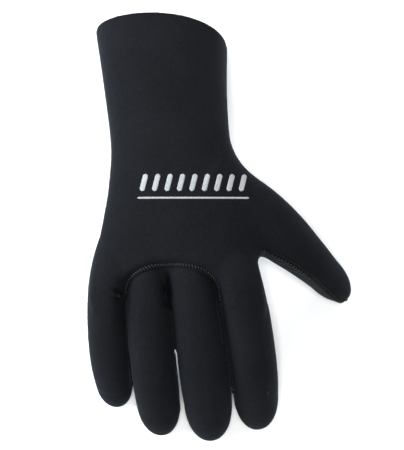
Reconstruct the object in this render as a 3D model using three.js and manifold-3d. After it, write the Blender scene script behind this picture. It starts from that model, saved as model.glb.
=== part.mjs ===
// A right-hand diving glove of thick neoprene foam, lying palm down on a table.
// x runs towards the thumb, y towards the cuff's mouth and z up off the table.
// The glove is hollow: a hand goes in at the mouth. Its wall is cut into three panels,
// which meet along the sides of the hand and fingers and in an arch over the knuckles.
import * as THREE from "three";
import { mergeVertices } from "three/addons/utils/BufferGeometryUtils.js";
import Module from "manifold-3d";

const wasm = await Module();
wasm.setup();

// Driving sizes, in millimetres and degrees
const wall = 5; // the foam with its cloth on both faces
const panelGap = 0.4; // clearance between two panels along a seam
const jointDrop = 1.6; // how far the joints along the sides lie below the limbs' middles
const pressedFlat = 0.9; // how far the foam flattens where it rests on the table

const cuffWidth = 81.5;
const cuffDepth = 66;
const cuffLength = 64.2; // from the wrist to the mouth
const cuffSway = 6; // how far the mouth stands towards the little finger
const wristWidth = 71.4;
const wristDepth = 52;
const wristDrop = 0.21; // share of the mouth's drop that the wrist has come down by
const palmWidth = 100;
const palmDepth = 44;
const palmLength = 91; // from the wrist to where the webs between the fingers round off
const palmSway = 4; // how far the palm's middle stands towards the thumb
const archHeight = 60; // the palm's middle surface above the table
const webLength = 9; // the rounded end of the hand between the fingers

const fingerLength = 143.5; // the middle finger's, from its start inside the hand
const fingerWidth = 31.2; // the middle finger's
const fingerDepth = 28.5; // the middle finger's
const fingerRoot = 0.66; // share of palmLength at which the fingers start inside the hand
const fingerTip = 0.95; // the rounded tip's length as a share of the finger's width
const fingerPower = 2.1; // 2 is an oval section, more is squarer

const thumbLength = 126;
const thumbWidth = 28;
const thumbDepth = 27;
const thumbRoot = { across: 0.27, along: 0.3, below: 3 }; // shares of palmWidth and palmLength
const thumbYaw = { root: 56.2, tip: 46.2 };
const thumbTip = 0.23; // the rounded tip's length as a share of the thumb's length

const seamWidth = 2.6;
const seamHeight = 1.1;
const seamClearance = 0.38; // between a seam and the panels under it
const seamFoot = 2; // the lowest end of a seam above the table
const knuckleSetback = 16.5; // from the top of the arch over the knuckles to the webs
const knuckleArchRise = 17.5;
const knuckleSeamTail = 3.5; // how far the seam goes on past the arch between the fingers
const knuckleArchPower = 2.25; // 2 is an ellipse, more is squarer

// Cross-sections of the cuff, as shares of its length, sway, width and depth. drop is the
// share of the mouth's drop below the palm, and power is 2 for an oval, more for squarer.
// skew turns a section from square to the path, and lean makes its thumb side deeper.
const cuffSections = [
  { along: 1, sway: 1, drop: 1, width: 1, depth: 1, power: 2, skew: -13, lean: 0.16 },
  { along: 0.48, sway: 0.5, drop: 0.53, width: 0.91, depth: 0.89, power: 2.05, skew: -6, lean: 0.06 },
];

// Cross-sections of the hand, as shares of the palm's length, sway, width and depth. back
// and palm are the depths above and below the middle surface.
const palmSections = [
  { along: 0.23, sway: 0.4, drop: 0.06, width: 0.76, back: 0.54, palm: 0.56, power: 2.2 },
  { along: 0.46, sway: 0.8, drop: 0, width: 0.85, back: 0.52, palm: 0.54, power: 2.35 },
  { along: 0.69, sway: 1, drop: 0, width: 0.94, back: 0.41, palm: 0.48, power: 2.45 },
  { along: 0.86, sway: 0.9, drop: 0.03, width: 0.985, back: 0.25, palm: 0.4, power: 2.5 },
  { along: 1, sway: 0.8, drop: 0.1, width: 0.965, back: 0.12, palm: 0.28, power: 2.5 },
];

// length, width and depth are shares of the middle finger's. across is the root's place as
// a share of palmWidth from the palm's middle. The yaws are angles from straight ahead
// towards the thumb, at the root and at the tip.
const fingers = [
  { name: "little", across: -0.38, length: 0.871, width: 0.766, depth: 0.842, rootYaw: -9, tipYaw: 8 },
  { name: "ring", across: -0.173, length: 0.976, width: 0.905, depth: 0.947, rootYaw: -1, tipYaw: 7.3 },
  { name: "middle", across: 0.062, length: 1, width: 1, depth: 1, rootYaw: 9, tipYaw: 5 },
  { name: "index", across: 0.311, length: 0.962, width: 0.925, depth: 0.965, rootYaw: 15, tipYaw: 5 },
];

// Shares of a finger's width and depth along its path, before its rounded tip.
const fingerProfile = [
  { at: 0, width: 0.7, depth: 1 },
  { at: 0.1, width: 0.84, depth: 1.22 },
  { at: 0.25, width: 0.97, depth: 1.2 },
  { at: 0.42, width: 1, depth: 1.07 },
  { at: 0.62, width: 1, depth: 1 },
  { at: 0.84, width: 0.99, depth: 0.96 },
  { at: 1, width: 0.94, depth: 0.88 },
];

// roll turns the thumb's section, so that its seam shows on the side of the fingers.
const thumbProfile = [
  { at: 0, width: 1.2, depth: 1.3, roll: 0 },
  { at: 0.27, width: 1.3, depth: 1.33, roll: 16 },
  { at: 0.54, width: 1.2, depth: 1.2, roll: 36 },
  { at: 0.74, width: 1.03, depth: 1.02, roll: 46 },
  { at: 0.92, width: 0.88, depth: 0.88, roll: 46 },
  { at: 1, width: 0.83, depth: 0.83, roll: 46 },
];

// How finely the tubes are divided
const handPoints = 30;
const handSteps = 12;
const fingerPoints = 16;
const fingerSteps = 8;
const domeSteps = 4;
const liningShare = 0.6; // the lining has fewer points than the outside
const pathSteps = 24;
const archSteps = 20;
const archSideSteps = 8;
const bisections = 30;

// Margins of the cutting tools
const mouthCut = 12; // beyond the mouth
const sideCut = 0.2; // beyond the outside, less than half the gap between fingers
const seamCut = 3; // beyond the outside, more than the seams' height
const farCut = 400;
const steepest = 110; // degrees by which a finger may bend down
const crumb = 2; // the volume in cubic millimetres under which a cut's leftover is no piece

const degrees = Math.PI / 180;
const upwards = new THREE.Vector3(0, 0, 1);

// The value of one column at a place between its rows, on a smooth curve through them
function column(rows, key, at) {
  let i = 0;
  while (i < rows.length - 2 && at > rows[i + 1].at) i++;
  const slope = (a, b) => (rows[b][key] - rows[a][key]) / (rows[b].at - rows[a].at);
  const span = rows[i + 1].at - rows[i].at;
  const t = (at - rows[i].at) / span;
  const start = span * slope(Math.max(i - 1, 0), i + 1);
  const end = span * slope(i, Math.min(i + 2, rows.length - 1));
  const a = rows[i][key];
  const b = rows[i + 1][key];
  return a + t * (start + t * (3 * (b - a) - 2 * start - end + t * (2 * (a - b) + start + end)));
}

// A limb is a curved tube with a changing oval section and a rounded end.
// One cross-section of it, grown by some millimetres, past its end or before its start
function section(limb, at, grow, past, shrink) {
  const along = limb.path.getTangent(at);
  const side = new THREE.Vector3().crossVectors(upwards, along).normalize();
  const up = new THREE.Vector3().crossVectors(along, side);
  const roll = column(limb.rows, "roll", at) * degrees;
  side.applyAxisAngle(along, roll);
  up.applyAxisAngle(along, roll);
  side.applyAxisAngle(up, column(limb.rows, "skew", at) * degrees);
  return {
    centre: limb.path.getPoint(at).addScaledVector(along, past),
    side,
    up,
    halfWidth: shrink * (0.5 * column(limb.rows, "width", at) + grow),
    back: shrink * (column(limb.rows, "back", at) + grow),
    palm: shrink * (column(limb.rows, "palm", at) + grow),
    power: column(limb.rows, "power", at),
    lean: column(limb.rows, "lean", at),
  };
}

// All its cross-sections. The mouth's end grows only for tools that cut through it.
function sections(limb, grow, fromBeyondMouth) {
  const list = [section(limb, 0, grow, limb.open ? 0 : -grow, 1)];
  if (limb.open && fromBeyondMouth) list.unshift(section(limb, 0, grow, -mouthCut, 1));
  for (let i = 1; i <= limb.steps; i++) list.push(section(limb, i / limb.steps, grow, 0, 1));
  for (let i = 1; i <= domeSteps; i++) {
    const angle = (0.5 * Math.PI * i) / domeSteps;
    list.push(section(limb, 1, grow, (limb.dome + grow) * Math.sin(angle), Math.cos(angle)));
  }
  return list;
}

function place(s, across, rise) {
  return s.centre.clone().addScaledVector(s.side, across).addScaledVector(s.up, rise);
}

// A number from -1 to 1 moved outwards, as an oval of some power needs it
function bent(value, power) {
  return Math.sign(value) * Math.abs(value) ** (2 / power);
}

// The point of an oval at an angle from the side towards the back: how far across and up
function onOval(s, angle) {
  const across = bent(Math.cos(angle), s.power);
  const rise = bent(Math.sin(angle), s.power);
  const depth = (rise > 0 ? s.back : s.palm) * (1 + s.lean * across);
  return [s.halfWidth * across, depth * rise];
}

function ovalRing(s, count) {
  return Array.from({ length: count }, (_, j) => place(s, ...onOval(s, (2 * Math.PI * j) / count)));
}

// A closed solid through rings of points. The last ring has shrunk to the tip's point.
function loft(rings) {
  const count = rings[0].length;
  const body = rings.slice(0, -1);
  const tip = rings[rings.length - 1][0];
  const heel = new THREE.Vector3();
  for (const p of body[0]) heel.addScaledVector(p, 1 / count);
  const heelIndex = body.length * count;
  const tipIndex = heelIndex + 1;
  const faces = [];
  for (let j = 0; j < count; j++) {
    const k = (j + 1) % count;
    faces.push(heelIndex, k, j);
    for (let i = 0; i + 1 < body.length; i++) {
      const a = i * count;
      const b = a + count;
      faces.push(a + j, a + k, b + k, a + j, b + k, b + j);
    }
    const last = heelIndex - count;
    faces.push(last + j, last + k, tipIndex);
  }
  return solidOf(new THREE.BufferGeometry().setFromPoints([...body.flat(), heel, tip]).setIndex(faces));
}

// A three.js geometry as a manifold-3d solid
function solidOf(geometry) {
  const bare = geometry.clone();
  bare.deleteAttribute("normal");
  bare.deleteAttribute("uv");
  const merged = mergeVertices(bare, 1e-4);
  const triVerts = new Uint32Array(merged.index.array);
  const vertProperties = merged.attributes.position.array;
  return new wasm.Manifold(new wasm.Mesh({ numProp: 3, vertProperties, triVerts }));
}

function union(solids) {
  return solids.reduce((a, b) => a.add(b));
}

// The whole tube of a limb: its outside, or its lining where grow is negative
function tube(limb, grow) {
  const isLining = grow < 0;
  const count = Math.round(limb.points * (isLining ? liningShare : 1));
  return loft(sections(limb, grow, isLining).map((s) => ovalRing(s, count)));
}

// The back half of a limb, down to a height above its middle surface
function backHalf(limb, grow, height) {
  const half = Math.round(limb.points / 2);
  const rings = sections(limb, grow, true).map((s) => {
    const floor = Math.min(height, s.back);
    const ring = [place(s, s.halfWidth, floor)];
    for (let j = 1; j < half; j++) {
      const [across, rise] = onOval(s, (Math.PI * j) / half);
      ring.push(place(s, across, Math.max(rise, floor)));
    }
    ring.push(place(s, -s.halfWidth, floor));
    return ring;
  });
  return loft(rings);
}

function lowest(limb) {
  const rings = sections(limb, 0, false).map((s) => ovalRing(s, limb.points));
  return Math.min(...rings.flat().map((p) => p.z));
}

// The limb, of those that make(bend) gives, that presses on the table as foam does.
// More bend brings it lower.
function resting(make, most) {
  let low = 0;
  let high = most;
  for (let i = 0; i < bisections; i++) {
    const bend = 0.5 * (low + high);
    if (lowest(make(bend)) > -pressedFlat) low = bend;
    else high = bend;
  }
  return make(0.5 * (low + high));
}

// The cuff and hand, for a cuff whose mouth is a given drop below the palm
function hand(mouthDrop) {
  const cuff = cuffSections.map((row) => ({
    ...row,
    x: -row.sway * cuffSway,
    y: row.along * cuffLength,
    width: row.width * cuffWidth,
    back: 0.5 * row.depth * cuffDepth,
    palm: 0.5 * row.depth * cuffDepth,
  }));
  const wrist = { x: 0, y: 0, drop: wristDrop, width: wristWidth, power: fingerPower, skew: 0, lean: 0 };
  wrist.back = 0.5 * wristDepth;
  wrist.palm = 0.5 * wristDepth;
  const palm = palmSections.map((row) => ({
    ...row,
    x: row.sway * palmSway,
    y: -row.along * palmLength,
    width: row.width * palmWidth,
    back: row.back * palmDepth,
    palm: row.palm * palmDepth,
    skew: 0,
    lean: 0,
  }));
  const rows = [...cuff, wrist, ...palm].map((row, i, all) => ({ ...row, at: i / (all.length - 1), roll: 0 }));
  const centres = rows.map((row) => new THREE.Vector3(row.x, row.y, archHeight - mouthDrop * row.drop));
  const path = new THREE.CatmullRomCurve3(centres);
  return { path, rows, dome: webLength, steps: handSteps, points: handPoints, open: true };
}

// A path that starts level and turns evenly in plan and downwards
function bendingPath(start, length, rootYaw, tipYaw, bend) {
  const points = [start.clone()];
  const stride = length / pathSteps;
  for (let i = 0; i < pathSteps; i++) {
    const share = (i + 0.5) / pathSteps;
    const yaw = (rootYaw + (tipYaw - rootYaw) * share) * degrees;
    const pitch = bend * share * degrees;
    const ahead = stride * Math.cos(pitch);
    const step = new THREE.Vector3(ahead * Math.sin(yaw), -ahead * Math.cos(yaw), -stride * Math.sin(pitch));
    points.push(points[i].clone().add(step));
  }
  return new THREE.CatmullRomCurve3(points);
}

// A finger or thumb along a path
function digit(path, profile, width, depth, dome) {
  const rows = profile.map((row) => ({
    at: row.at,
    width: row.width * width,
    back: 0.5 * row.depth * depth,
    palm: 0.5 * row.depth * depth,
    power: fingerPower,
    roll: -(row.roll ?? 0),
    skew: 0,
    lean: 0,
  }));
  return { path, rows, dome, steps: fingerSteps, points: fingerPoints, open: false };
}

function finger(spec, bend) {
  const start = new THREE.Vector3(palmSway + spec.across * palmWidth, -fingerRoot * palmLength, archHeight);
  const width = spec.width * fingerWidth;
  const dome = fingerTip * width;
  const path = bendingPath(start, spec.length * fingerLength - dome, spec.rootYaw, spec.tipYaw, bend);
  return digit(path, fingerProfile, width, spec.depth * fingerDepth, dome);
}

function thumbLimb(bend) {
  const x = thumbRoot.across * palmWidth;
  const start = new THREE.Vector3(x, -thumbRoot.along * palmLength, archHeight - thumbRoot.below);
  const dome = thumbTip * thumbLength;
  const path = bendingPath(start, thumbLength - dome, thumbYaw.root, thumbYaw.tip, bend);
  return digit(path, thumbProfile, thumbWidth, thumbDepth, dome);
}

const handLimb = resting(hand, archHeight);
const fingerLimbs = fingers.map((spec) => resting((bend) => finger(spec, bend), steepest));
const thumb = resting(thumbLimb, steepest);
const limbs = [handLimb, ...fingerLimbs, thumb];

const table = new THREE.BoxGeometry(2 * farCut, 2 * farCut, farCut);
const underTable = solidOf(table).translate([0, 0, -0.5 * farCut]);

function outside(grow) {
  return union(limbs.map((limb) => tube(limb, grow))).subtract(underTable);
}

const shell = outside(0).subtract(union(limbs.map((limb) => tube(limb, -wall))));

// The back of the glove ends just below the limbs' middle surfaces, and the palm starts there.
function backRegion(grow, height) {
  return union(limbs.map((limb) => backHalf(limb, grow, height)));
}

const backLimit = backRegion(sideCut, -jointDrop);
const palmLimit = backRegion(sideCut + panelGap, -jointDrop - panelGap);

// Where a limb's middle line crosses a given y, in plan
function crossing(limb, y) {
  let before = limb.path.getPoint(0);
  for (let i = 1; i <= pathSteps; i++) {
    const next = limb.path.getPoint(i / pathSteps);
    if (next.y <= y) {
      const t = (before.y - y) / (before.y - next.y);
      return before.x + (next.x - before.x) * THREE.MathUtils.clamp(t, 0, 1);
    }
    before = next;
  }
  return before.x;
}

// The line between two neighbouring fingers, in plan
function between(a, b, y) {
  const share = fingers[a].width / (fingers[a].width + fingers[b].width);
  const xa = crossing(fingerLimbs[a], y);
  const xb = crossing(fingerLimbs[b], y);
  return xa + (xb - xa) * share;
}

const springY = knuckleSetback - palmLength - knuckleArchRise; // where the arch starts

// The knuckle panel's outline in plan, moved outwards by some millimetres. It goes up one
// side from endY, over the knuckles in an arch and down the other side.
function knuckleOutline(offset, endY) {
  const left = [];
  const right = [];
  for (let i = 0; i < archSideSteps; i++) {
    const y = endY + ((springY - endY) * i) / archSideSteps;
    left.push(new THREE.Vector2(between(0, 1, y) - offset, y));
    right.push(new THREE.Vector2(between(2, 3, y) + offset, y));
  }
  const leftX = between(0, 1, springY);
  const rightX = between(2, 3, springY);
  const halfSpan = 0.5 * (rightX - leftX) + offset;
  const arch = [];
  for (let i = 0; i <= archSteps; i++) {
    const angle = Math.PI * (1 - i / archSteps);
    const x = 0.5 * (leftX + rightX) + halfSpan * bent(Math.cos(angle), knuckleArchPower);
    const rise = (knuckleArchRise + offset) * bent(Math.max(Math.sin(angle), 0), knuckleArchPower);
    arch.push(new THREE.Vector2(x, springY + rise));
  }
  return [...left, ...arch, ...right.reverse()];
}

// A plan outline as a prism through the whole glove
function prism(outline) {
  const geometry = new THREE.ExtrudeGeometry(new THREE.Shape(outline), { depth: farCut, bevelEnabled: false });
  return solidOf(geometry).translate([0, 0, -0.5 * farCut]);
}

const beyondTips = -0.7 * farCut;
const knuckleRegion = prism(knuckleOutline(-0.5 * panelGap, beyondTips));
const knuckleHole = prism(knuckleOutline(0.5 * panelGap, beyondTips));

// Seams are a thin layer over the panels, cut to a band along the joint.
const seamLayer = outside(seamClearance + seamHeight)
  .subtract(outside(seamClearance))
  .subtract(underTable.translate([0, 0, seamFoot]));
const outerEdge = knuckleOutline(0.5 * seamWidth, springY - knuckleSeamTail);
const innerEdge = knuckleOutline(-0.5 * seamWidth, springY - knuckleSeamTail).reverse();
const knuckleBand = prism([...outerEdge, ...innerEdge]).intersect(backRegion(seamCut, 0));

// The thumb's seam is on its side towards the fingers, which in plan is below its path.
const thumbLine = thumb.path.getPoints(pathSteps);
const thumbEnd = section(thumb, 1, 0, thumb.dome + seamCut, 1).centre;
const fingerSide = [...thumbLine, thumbEnd].map((p) => new THREE.Vector2(p.x, p.y));
fingerSide.push(new THREE.Vector2(thumbEnd.x, beyondTips));
fingerSide.push(new THREE.Vector2(thumbLine[0].x, beyondTips));
const thumbBand = backHalf(thumb, seamCut, -jointDrop - 0.5 * seamWidth)
  .subtract(backHalf(thumb, seamCut, -jointDrop + 0.5 * seamWidth))
  .intersect(prism(fingerSide.reverse()));

const back = shell.intersect(backLimit);
const cloth = { color: 0x1c1f27, roughness: 0.85, metalness: 0 };
const ribbedCloth = { color: 0x17191d, roughness: 0.9, metalness: 0 };
const tape = { color: 0x111214, roughness: 0.8, metalness: 0 };
const pieces = {
  back_panel: [back.subtract(knuckleHole), cloth],
  knuckle_panel: [back.intersect(knuckleRegion), cloth],
  palm_panel: [shell.subtract(palmLimit), ribbedCloth],
  knuckle_seam: [seamLayer.intersect(knuckleBand), tape],
  thumb_seam: [seamLayer.intersect(thumbBand), tape],
};

function withoutCrumbs(solid) {
  return union(solid.decompose().filter((body) => body.volume() > crumb));
}

const glove = new THREE.Group();
for (const [name, [solid, look]] of Object.entries(pieces)) {
  const { vertProperties, triVerts } = withoutCrumbs(solid).getMesh();
  const geometry = new THREE.BufferGeometry();
  geometry.setAttribute("position", new THREE.BufferAttribute(vertProperties, 3));
  geometry.setIndex(new THREE.BufferAttribute(triVerts, 1));
  const mesh = new THREE.Mesh(geometry, new THREE.MeshStandardMaterial(look));
  mesh.name = name;
  glove.add(mesh);
}

// The glove's own frame has its origin under the middle of the glove, on the table.
const extent = new THREE.Box3().setFromObject(glove, true);
const middle = extent.getCenter(new THREE.Vector3());
glove.position.set(-middle.x, -middle.y, -extent.min.z);

export default glove;
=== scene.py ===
"""A right-hand diving glove of thick neoprene foam, lying palm down on a pale floor.

The form is a distance field of the hand, fingers and thumb, in millimetres, meshed as three
foam panels with rounded edges. The stitched seams and the print are laid on it.
"""

import math

import bpy
import numpy as np
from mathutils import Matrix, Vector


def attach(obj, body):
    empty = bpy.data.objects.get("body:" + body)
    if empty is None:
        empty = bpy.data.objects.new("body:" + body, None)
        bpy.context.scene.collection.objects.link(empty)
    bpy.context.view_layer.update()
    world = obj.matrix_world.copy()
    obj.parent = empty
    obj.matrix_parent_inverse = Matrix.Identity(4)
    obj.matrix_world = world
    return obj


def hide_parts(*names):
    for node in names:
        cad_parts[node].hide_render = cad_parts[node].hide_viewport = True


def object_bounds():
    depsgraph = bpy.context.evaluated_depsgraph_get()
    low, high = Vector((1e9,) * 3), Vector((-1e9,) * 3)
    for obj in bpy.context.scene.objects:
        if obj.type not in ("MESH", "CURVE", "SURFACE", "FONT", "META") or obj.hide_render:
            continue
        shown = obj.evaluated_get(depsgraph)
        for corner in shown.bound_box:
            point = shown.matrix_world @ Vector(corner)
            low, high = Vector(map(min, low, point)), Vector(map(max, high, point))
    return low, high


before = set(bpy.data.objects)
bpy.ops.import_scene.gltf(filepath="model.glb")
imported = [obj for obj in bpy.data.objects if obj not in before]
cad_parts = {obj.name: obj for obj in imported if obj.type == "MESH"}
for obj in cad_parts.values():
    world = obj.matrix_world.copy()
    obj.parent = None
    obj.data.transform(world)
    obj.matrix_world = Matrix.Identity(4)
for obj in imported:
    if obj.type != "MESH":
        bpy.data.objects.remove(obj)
cad_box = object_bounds()


def table(columns, *rows):
    """Rows with named columns."""
    return [dict(zip(columns.split(), row)) for row in rows]


# The solids' own sizes, in millimetres and degrees, apart from a narrower PANEL_GAP, the thumb's rolls
# and the column outside_arch, which holds the back's depths outside the arch seam
WALL = 5
PANEL_GAP = 0.36
JOINT_DROP = 1.6
PRESSED_FLAT = 0.9
CUFF_WIDTH = 81.5
CUFF_DEPTH = 66
CUFF_LENGTH = 64.2
CUFF_SWAY = 6
WRIST_WIDTH = 71.4
WRIST_DEPTH = 52
WRIST_DROP = 0.21
PALM_WIDTH = 100
PALM_DEPTH = 44
PALM_LENGTH = 91
PALM_SWAY = 4
ARCH_HEIGHT = 60
WEB_LENGTH = 9
FINGER_LENGTH = 143.5
FINGER_WIDTH = 31.2
FINGER_DEPTH = 28.5
FINGER_ROOT = 0.66
FINGER_TIP = 0.95
FINGER_POWER = 2.1
THUMB_LENGTH = 126
THUMB_WIDTH = 28
THUMB_DEPTH = 27
THUMB_ROOT_ACROSS = 0.27
THUMB_ROOT_ALONG = 0.3
THUMB_ROOT_BELOW = 3
THUMB_ROOT_YAW = 56.2
THUMB_TIP_YAW = 46.2
THUMB_TIP = 0.23
KNUCKLE_SETBACK = 16.5
KNUCKLE_ARCH_RISE = 17.5
KNUCKLE_SEAM_TAIL = 3.5
KNUCKLE_ARCH_POWER = 2.25

CUFF_SECTIONS = table(
    "along sway drop width depth power skew lean",
    (1, 1, 1, 1, 1, 2, -13, 0.16),
    (0.48, 0.5, 0.53, 0.91, 0.89, 2.05, -6, 0.06),
)
PALM_SECTIONS = table(
    "along sway drop width back outside_arch palm power",
    (0.23, 0.4, 0.06, 0.76, 0.54, 0.54, 0.56, 2.2),
    (0.46, 0.8, 0, 0.85, 0.52, 0.52, 0.54, 2.35),
    (0.69, 1, 0, 0.94, 0.41, 0.44, 0.48, 2.45),
    (0.86, 0.9, 0.03, 0.985, 0.25, 0.38, 0.4, 2.5),
    (1, 0.8, 0.1, 0.965, 0.12, 0.27, 0.28, 2.5),
)
FINGERS = table(
    "name across length width depth root_yaw tip_yaw",
    ("little", -0.38, 0.871, 0.766, 0.842, -9, 8),
    ("ring", -0.173, 0.976, 0.905, 0.947, -1, 7.3),
    ("middle", 0.062, 1, 1, 1, 9, 5),
    ("index", 0.311, 0.962, 0.925, 0.965, 15, 5),
)
FINGER_PROFILE = table(
    "at width depth roll",
    (0, 0.7, 1, 0),
    (0.1, 0.84, 1.22, 0),
    (0.25, 0.97, 1.2, 0),
    (0.42, 1, 1.07, 0),
    (0.62, 1, 1, 0),
    (0.84, 0.99, 0.96, 0),
    (1, 0.94, 0.88, 0),
)
THUMB_PROFILE = table(
    "at width depth roll",
    (0, 1.2, 1.3, 0),
    (0.27, 1.3, 1.33, 22),
    (0.54, 1.2, 1.2, 50),
    (0.74, 1.03, 1.02, 60),
    (0.92, 0.88, 0.88, 60),
    (1, 0.83, 0.83, 58),
)

# How softly the limbs run into each other: the reach of each fillet
BACK_FILLET = 15
ARCH_FILLET = 5  # inside the knuckle panel's arch
SIDE_FILLET = 2.5
FILLET_START = 28  # how far along a finger its fillet reaches its full size
LEAST_FILLET = 0.5
LIMB_BLEND = 2.5  # how softly the limbs' own places run into each other
BLEND_LIMIT = 20
FINGER_HEEL_SINK = 2.6  # how much lower the index and little fingers' backs start
FINGER_HEEL_LENGTH = 48
FINGER_BACK = (2, 13)  # from where to where above its middle a finger's side turns into its back
THUMB_FILLET = 14
CROTCH_FILLET = 10
CROTCH_SIDE = (-12, 6)  # from where to where across the thumb its fillet grows to its full reach
EDGE_ROUNDING = 1.8  # of a panel's edges along a seam
RIM_ROUNDING = 1.2
FLOOR_ROUNDING = 0.5

# From where to where across the arch seam, outwards, the fillet and the back's depth change
FILLET_CHANGE = (-1, 8)
DEPTH_CHANGE = (-1, 4)

# The cloth is drawn down along the arch seam.
SEAM_DENT = 1.1
SEAM_DENT_REACH = 4
SEAM_DENT_FADE = 22  # how far below the arch's springing the dent has gone
BACK_START = 6  # how far above the joints the dent and the creases reach their full depth

# Neighbouring fingers press together up to a given y, where a gap opens between them.
CONTACT_FILLET = 3.4
CONTACT_FADE = 8
CONTACTS = table(
    "first second end_y",
    ("little", "ring", -146),
    ("ring", "middle", -131),
    ("middle", "index", -159),
)
DEEPEST_CREASE = 2.4

# Creases where the cloth folds into the webs, in plan from the far end to the deep end
CREASES = table(
    "x0 y0 x1 y1 depth width",
    (-1.2, -77.0, -0.8, -95.0, 1.8, 1.5),
    (-6.3, -82.6, 0.1, -96.4, 1.35, 1.1),
    (0.8, -85.3, 1.2, -93.0, 0.7, 1.0),
    (-5.8, -98.0, 1.0, -101.0, 1.2, 1.1),
    (-7.4, -87.2, -0.9, -95.4, 0.8, 1.0),
    (-9.2, -90.2, -1.5, -97.2, 0.6, 1.0),
    (-7.4, -95.0, 0.3, -99.0, 0.7, 1.0),
    (-36.4, -88.0, -26.6, -93.6, 1.15, 1.1),
    (-39.9, -91.4, -27.0, -96.8, 0.9, 1.1),
    (-37.0, -85.3, -29.0, -90.9, 0.6, 1.1),
    (-36.5, -95.0, -27.0, -99.6, 0.6, 1.1),
)

# How finely everything is worked out
CELL = 1.0  # of the grid that the panels are meshed on
COARSE = 4  # cells along the side of a block that is left out where no surface is near
SAMPLES = 64  # along each limb
TRACKING_STEPS = 4
RING_POINTS = 48
NOT_NEAR = 30.0  # the distance that stands for any place far from a limb
LIMB_MARGIN = 28  # how far from a limb its distance is worked out
FINGER_STEPS = 8
HAND_STEPS = 12
DOME_STEPS = 4
PATH_STEPS = 24
BISECTIONS = 30
STEEPEST = 110  # the most that a finger or the thumb bends
UP = np.array([0.0, 0.0, 1.0])
METRE = 1000.0


def unit(vectors):
    return vectors / np.linalg.norm(vectors, axis=-1, keepdims=True)


def dot(a, b):
    return np.einsum("...i,...i", a, b)


def lengths_along(points):
    """How far along a line each of its points lies."""
    return np.concatenate([[0], np.cumsum(np.linalg.norm(np.diff(points, axis=0), axis=1))])


def lattice(shape):
    """Every whole-numbered place in a grid of a given shape."""
    return np.stack(np.meshgrid(*map(np.arange, shape), indexing="ij"), -1).reshape(-1, len(shape))


def curve_points(knots, at):
    """Points of the centripetal Catmull-Rom curve through the knots, at places from 0 to 1."""
    last = len(knots) - 1
    i = np.clip((at * last).astype(int), 0, last - 1)
    t = (at * last - i)[:, None]
    padded = np.vstack([2 * knots[0] - knots[1], knots, 2 * knots[-1] - knots[-2]])
    p0, p1, p2, p3 = (padded[i + k] for k in range(4))
    pairs = ((p0, p1), (p1, p2), (p2, p3))
    d0, d1, d2 = (np.sqrt(np.linalg.norm(b - a, axis=1))[:, None] for a, b in pairs)
    start = d1 * ((p1 - p0) / d0 - (p2 - p0) / (d0 + d1) + (p2 - p1) / d1)
    end = d1 * ((p2 - p1) / d1 - (p3 - p1) / (d1 + d2) + (p3 - p2) / d2)
    return p1 + t * (start + t * (3 * (p2 - p1) - 2 * start - end + t * (2 * (p1 - p2) + start + end)))


def column(rows, key, at):
    """One column's values at places between its rows, on a smooth curve through them."""
    places = np.array([row["at"] for row in rows], float)
    values = np.array([row[key] for row in rows], float)
    i = np.clip(np.searchsorted(places, at) - 1, 0, len(rows) - 2)
    before = np.maximum(i - 1, 0)
    after = np.minimum(i + 2, len(rows) - 1)
    span = places[i + 1] - places[i]
    start = span * (values[i + 1] - values[before]) / (places[i + 1] - places[before])
    end = span * (values[after] - values[i]) / (places[after] - places[i])
    t = (at - places[i]) / span
    rise = values[i + 1] - values[i]
    return values[i] + t * (start + t * (3 * rise - 2 * start - end + t * (start + end - 2 * rise)))


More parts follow.
